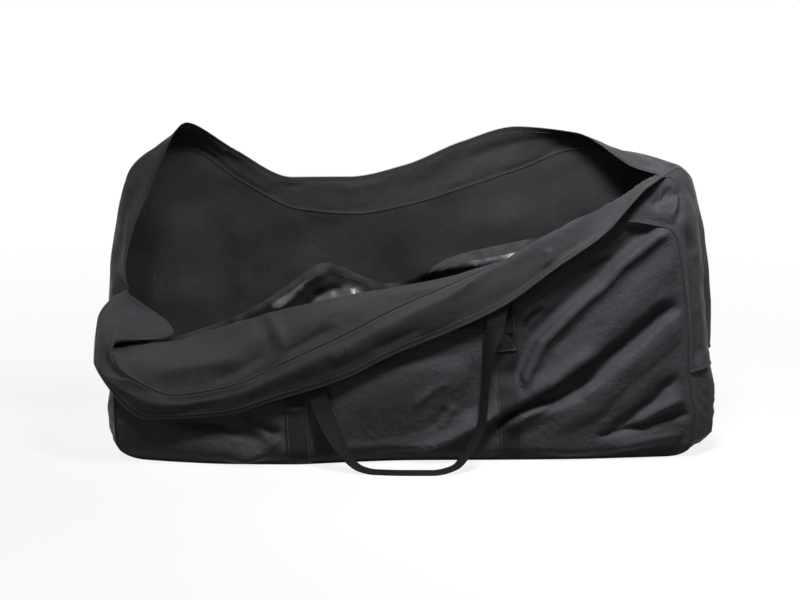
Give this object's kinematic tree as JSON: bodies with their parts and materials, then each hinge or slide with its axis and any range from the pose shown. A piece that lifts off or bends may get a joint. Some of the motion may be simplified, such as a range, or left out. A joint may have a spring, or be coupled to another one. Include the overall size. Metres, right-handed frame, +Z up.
{
  "type": "soft bicycle travel bag",
  "caption": "Large soft box bag for carrying a bicycle, with its top zip run open and the front wall folded down, a wheel divider inside, a zipped front pocket and webbing carry handles.",
  "frame": {"origin": "on the floor under the base, at mid length and mid depth of the base's own box outline", "axes": "+X along the bag to the right as seen from its front, -Y out of the front wall with the pocket, +Z up"},
  "size_m": [1.3257, 0.3944, 0.6968],
  "materials": {
    "oxford_fabric": "matte woven polyester with a light coating",
    "coated_fabric": "smooth coated lining cloth",
    "piping_cord": "matte bias tape over cord",
    "zip_tape": "matte woven tape",
    "webbing": "matte ribbed webbing",
    "black_metal": "satin black"
  },
  "bodies": {
    "bag": {"back_left_panel": "oxford_fabric", "back_middle_panel": "oxford_fabric", "back_right_panel": "oxford_fabric", "back_piping": "piping_cord", "back_zip_gusset": "oxford_fabric", "back_zip_tape": "zip_tape", "base_panel": "oxford_fabric", "divider_binding": "zip_tape", "front_left_panel": "oxford_fabric", "front_middle_panel": "oxford_fabric", "front_right_panel": "oxford_fabric", "front_piping": "piping_cord", "front_zip_gusset": "oxford_fabric", "front_zip_tape": "zip_tape", "left_back_patch": "webbing", "left_back_webbing": "webbing", "left_end_panel": "oxford_fabric", "left_back_handle_root": "webbing", "left_front_handle_root": "webbing", "left_front_patch": "webbing", "left_front_webbing": "webbing", "left_zip_stop": "black_metal", "pocket_header": "oxford_fabric", "pocket_lower_tape": "zip_tape", "pocket_panel": "oxford_fabric", "pocket_upper_tape": "zip_tape", "pocket_zip_stop": "black_metal", "right_back_patch": "webbing", "right_back_webbing": "webbing", "right_end_panel": "oxford_fabric", "right_back_handle_root": "webbing", "right_front_handle_root": "webbing", "right_front_patch": "webbing", "right_front_webbing": "webbing", "right_zip_stop": "black_metal", "wheel_divider": "coated_fabric"},
    "back_handle": {"back_handle": "webbing"},
    "front_handle": {"front_handle": "webbing"},
    "left_pull": {"left_pull": "black_metal"},
    "left_slider": {"left_slider": "black_metal"},
    "pocket_pull": {"pocket_pull": "black_metal"},
    "pocket_slider": {"pocket_slider": "black_metal"},
    "right_pull": {"right_pull": "black_metal"},
    "right_slider": {"right_slider": "black_metal"}
  },
  "joints": [
    {"name": "left_zip_slide", "type": "slide", "parent": "bag", "child": "left_slider", "axis": [-0.2601, 0, -0.9656], "range_m": [0, 0.124]},
    {"name": "left_pull_hinge", "type": "hinge", "parent": "left_slider", "child": "left_pull", "pos_m": [-0.60811, 0, 0.33809], "axis": [0, 1, 0], "range_deg": [0, 150]},
    {"name": "right_zip_slide", "type": "slide", "parent": "bag", "child": "right_slider", "axis": [0.1024, 0, -0.9947], "range_m": [0, 0.295]},
    {"name": "right_pull_hinge", "type": "hinge", "parent": "right_slider", "child": "right_pull", "pos_m": [0.62277, 0, 0.51212], "axis": [0, -1, 0], "range_deg": [0, 170]},
    {"name": "pocket_zip_slide", "type": "slide", "parent": "bag", "child": "pocket_slider", "axis": [1, 0, 0], "range_m": [0, 0.346]},
    {"name": "pocket_pull_hinge", "type": "hinge", "parent": "pocket_slider", "child": "pocket_pull", "pos_m": [-0.19561, -0.1474, 0.2751], "axis": [0, 0, -1], "range_deg": [0, 35]},
    {"name": "front_handle_hinge", "type": "hinge", "parent": "bag", "child": "front_handle", "pos_m": [-0.18368, -0.1716, 0.14805], "axis": [-0.9235, -0.0301, -0.3824], "range_deg": [0, 70]},
    {"name": "back_handle_hinge", "type": "hinge", "parent": "bag", "child": "back_handle", "pos_m": [-0.22264, 0.14732, 0.41451], "axis": [0.9997, -0.0118, -0.0212], "range_deg": [0, 90]}
  ]
}
